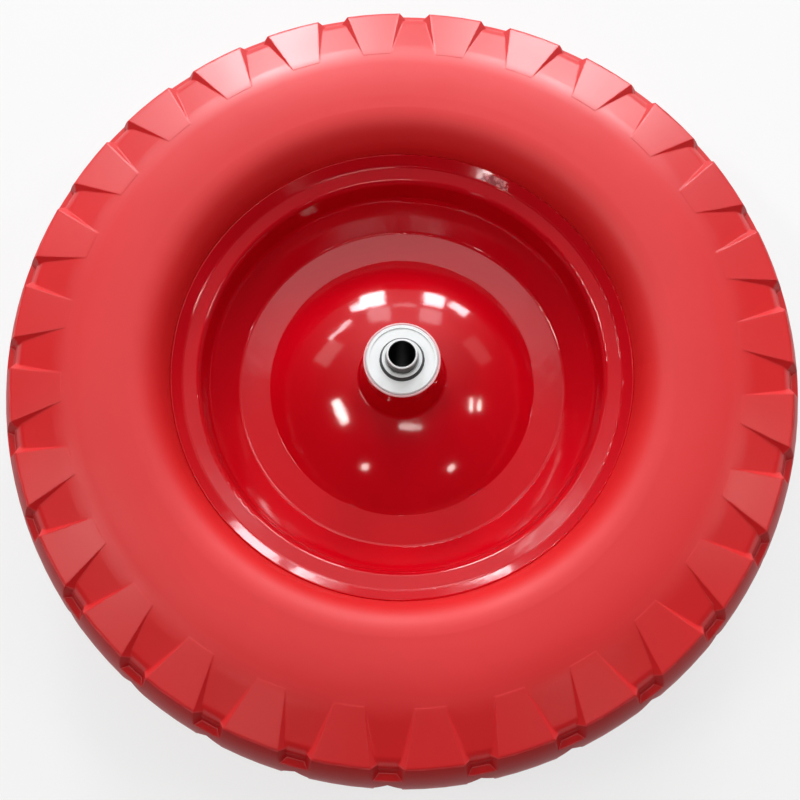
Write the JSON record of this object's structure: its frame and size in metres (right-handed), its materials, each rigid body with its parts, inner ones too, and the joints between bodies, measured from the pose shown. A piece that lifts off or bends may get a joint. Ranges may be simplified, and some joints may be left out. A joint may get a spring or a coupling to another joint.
{
  "type": "polyurethane wheel",
  "caption": "Puncture-proof barrow wheel: a lugged solid polyurethane tyre on a dished pressed steel rim, turning on ball bearings round a plain axle sleeve.",
  "frame": {"origin": "the wheel's centre, on the axle's axis midway between the two rim halves", "axes": "+Z along the axle towards the side that the picture shows; X and Y across the wheel, with +Y towards the top of the picture"},
  "size_m": [0.4, 0.4, 0.116],
  "materials": {
    "tyre_red": "satin",
    "rim_red": "gloss",
    "sleeve_zinc": "satin",
    "ring_steel": "polished",
    "shield_steel": "satin",
    "ball_steel": "polished",
    "cage_steel": "satin"
  },
  "bodies": {
    "axle_set": {"axle_sleeve": "sleeve_zinc", "spacer_tube": "sleeve_zinc", "front_bearing_inner_ring": "ring_steel", "rear_bearing_inner_ring": "ring_steel"},
    "wheel": {"tyre": "tyre_red", "front_rim_half": "rim_red", "rear_rim_half": "rim_red", "front_bearing_outer_ring": "ring_steel", "front_outer_shield": "shield_steel", "front_inner_shield": "shield_steel", "rear_bearing_outer_ring": "ring_steel", "rear_outer_shield": "shield_steel", "rear_inner_shield": "shield_steel"},
    "front_cage_set": {"front_bearing_balls": "ball_steel", "front_cage_outer_half": "cage_steel", "front_cage_inner_half": "cage_steel", "front_cage_rivets": "cage_steel"},
    "rear_cage_set": {"rear_bearing_balls": "ball_steel", "rear_cage_outer_half": "cage_steel", "rear_cage_inner_half": "cage_steel", "rear_cage_rivets": "cage_steel"}
  },
  "joints": [
    {"name": "wheel_spin", "type": "hinge", "parent": "axle_set", "child": "wheel", "pos_m": [0, 0, 0], "axis": [0, 0, 1], "continuous": true},
    {"name": "front_cage_spin", "type": "hinge", "parent": "axle_set", "child": "front_cage_set", "pos_m": [0, 0, 0.043], "axis": [0, 0, 1], "continuous": true},
    {"name": "rear_cage_spin", "type": "hinge", "parent": "axle_set", "child": "rear_cage_set", "pos_m": [0, 0, -0.043], "axis": [0, 0, 1], "continuous": true}
  ],
  "couplings": [
    {"joint": "front_cage_spin", "follows": "wheel_spin", "ratio": 0.61906},
    {"joint": "rear_cage_spin", "follows": "wheel_spin", "ratio": 0.61906}
  ]
}
